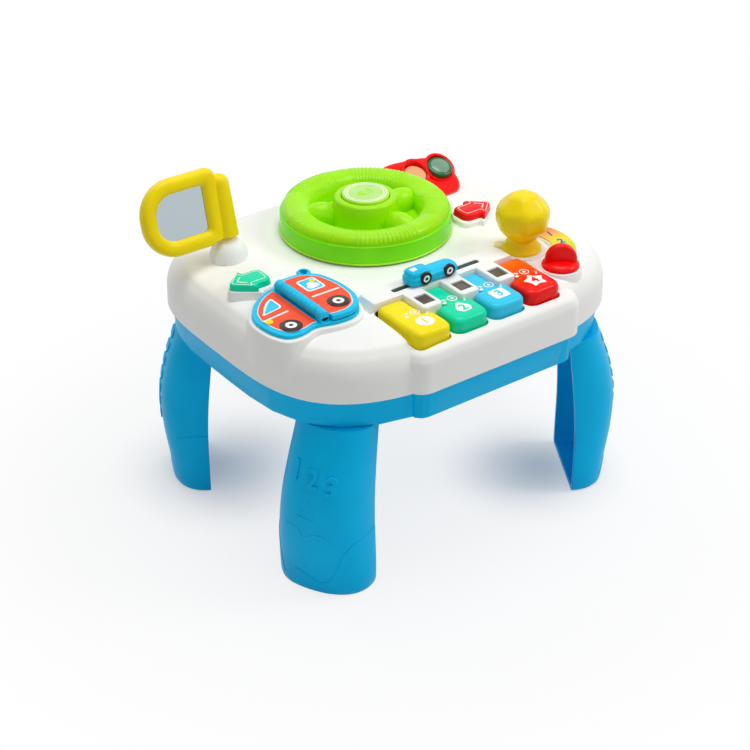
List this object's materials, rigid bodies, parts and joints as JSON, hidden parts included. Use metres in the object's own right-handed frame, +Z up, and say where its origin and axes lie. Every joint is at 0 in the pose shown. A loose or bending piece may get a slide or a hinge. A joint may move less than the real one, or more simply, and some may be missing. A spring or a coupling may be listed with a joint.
{
  "type": "activity table",
  "caption": "Low toddler play table on four hollow legs with a turning wheel, hinged keys, a sliding car, a flip book and other moving play pieces.",
  "frame": {"origin": "middle of the whole object on the floor, at the soles", "axes": "+X to the child's right along the keys, +Y away from the child, +Z up"},
  "size_m": [0.3678, 0.293, 0.3079],
  "materials": {
    "shell_white": "satin moulded",
    "body_blue": "satin moulded",
    "wheel_green": "gloss moulded",
    "skirt_green": "gloss, slightly see-through",
    "yellow": "gloss moulded",
    "amber_yellow": "gloss moulded",
    "red": "gloss moulded",
    "teal": "gloss moulded",
    "sky_blue": "gloss moulded",
    "card_print": "printed card under clear film",
    "dial_print": "printed",
    "smoke_lens": "gloss smoked",
    "green_lens": "gloss see-through",
    "amber_lens": "gloss see-through",
    "mirror_film": "polished",
    "dark_plastic": "matt",
    "board_green": "matt",
    "contact_rubber": "matt",
    "steel": "bright",
    "battery_skin": "gloss"
  },
  "bodies": {
    "table": {"top_shell": "shell_white", "bottom_tray": "body_blue", "leg_front_left": "body_blue", "leg_screw_front_left": "steel", "leg_front_right": "body_blue", "leg_screw_front_right": "steel", "leg_back_left": "body_blue", "leg_screw_back_left": "steel", "leg_back_right": "body_blue", "leg_screw_back_right": "steel", "case_screw_1": "steel", "case_screw_2": "steel", "case_screw_3": "steel", "case_screw_4": "steel", "battery_door": "body_blue", "battery_door_screw": "steel", "battery_1": "battery_skin", "battery_2": "battery_skin", "battery_3": "battery_skin", "speaker": "dark_plastic", "circuit_board": "board_green", "contact_strip": "contact_rubber", "key_axle": "steel", "led_window_1": "smoke_lens", "led_window_2": "smoke_lens", "led_window_3": "smoke_lens", "mirror_pin": "steel", "book_base": "sky_blue", "book_card": "card_print", "book_pin": "steel", "traffic_housing": "red", "traffic_lens_green": "green_lens", "traffic_lens_amber": "amber_lens", "gear_dial": "dial_print"},
    "wheel": {"wheel_rim": "wheel_green", "wheel_skirt": "skirt_green", "wheel_washer": "steel", "wheel_screw": "steel"},
    "horn": {"horn_button": "wheel_green"},
    "mirror": {"mirror_frame": "yellow", "mirror_plate": "mirror_film"},
    "arrow_button_left": {"arrow_left": "teal"},
    "arrow_button_right": {"arrow_right": "red"},
    "piano_key_1": {"key_1": "yellow"},
    "piano_key_2": {"key_2": "teal"},
    "piano_key_3": {"key_3": "sky_blue"},
    "piano_key_4": {"key_4": "red"},
    "car": {"slide_car": "sky_blue"},
    "page": {"flip_page": "sky_blue", "page_card": "card_print"},
    "gear": {"gear_lever": "amber_yellow", "gear_clip": "dark_plastic", "gear_screw": "steel"},
    "starter": {"start_knob": "red", "knob_clip": "dark_plastic", "knob_screw": "steel"},
    "switch": {"power_switch": "amber_yellow"}
  },
  "joints": [
    {"name": "wheel_turn", "type": "hinge", "parent": "table", "child": "wheel", "pos_m": [0.01665, 0.0444, 0.245], "axis": [0, 0, 1], "continuous": true},
    {"name": "horn_press", "type": "slide", "parent": "wheel", "child": "horn", "axis": [0, 0, -1], "range_m": [0, 0.003], "stiffness_N_per_m": 300},
    {"name": "mirror_swing", "type": "hinge", "parent": "table", "child": "mirror", "pos_m": [-0.10715, 0.0705, 0.246], "axis": [0, 0.225, 0.9744], "range_deg": [-75, 75]},
    {"name": "arrow_left_press", "type": "slide", "parent": "table", "child": "arrow_button_left", "axis": [0, 0, -1], "range_m": [0, 0.003], "stiffness_N_per_m": 300},
    {"name": "arrow_right_press", "type": "slide", "parent": "table", "child": "arrow_button_right", "axis": [0, 0, -1], "range_m": [0, 0.003], "stiffness_N_per_m": 300},
    {"name": "key_1_press", "type": "hinge", "parent": "table", "child": "piano_key_1", "pos_m": [-0.04715, -0.0753, 0.2112], "axis": [1, 0, 0], "range_deg": [0, 3], "stiffness_Nm_per_rad": 1},
    {"name": "key_2_press", "type": "hinge", "parent": "table", "child": "piano_key_2", "pos_m": [-0.00915, -0.0753, 0.2112], "axis": [1, 0, 0], "range_deg": [0, 3], "stiffness_Nm_per_rad": 1},
    {"name": "key_3_press", "type": "hinge", "parent": "table", "child": "piano_key_3", "pos_m": [0.02885, -0.0753, 0.2112], "axis": [1, 0, 0], "range_deg": [0, 3], "stiffness_Nm_per_rad": 1},
    {"name": "key_4_press", "type": "hinge", "parent": "table", "child": "piano_key_4", "pos_m": [0.06685, -0.0753, 0.2112], "axis": [1, 0, 0], "range_deg": [0, 3], "stiffness_Nm_per_rad": 1},
    {"name": "car_slide", "type": "slide", "parent": "table", "child": "car", "axis": [1, 0, 0], "range_m": [-0.032, 0.044]},
    {"name": "page_flip", "type": "hinge", "parent": "table", "child": "page", "pos_m": [-0.11265, -0.0455, 0.2386], "axis": [0, -1, 0], "range_deg": [0, 150]},
    {"name": "gear_turn", "type": "hinge", "parent": "table", "child": "gear", "pos_m": [0.09885, -0.0675, 0.24], "axis": [0, 0, 1], "range_deg": [-60, 5]},
    {"name": "start_turn", "type": "hinge", "parent": "table", "child": "starter", "pos_m": [0.10685, -0.1085, 0.235], "axis": [0, 0, 1], "range_deg": [-45, 45]},
    {"name": "switch_slide", "type": "slide", "parent": "table", "child": "switch", "axis": [1, 0, 0], "range_m": [-0.004, 0.004]}
  ]
}
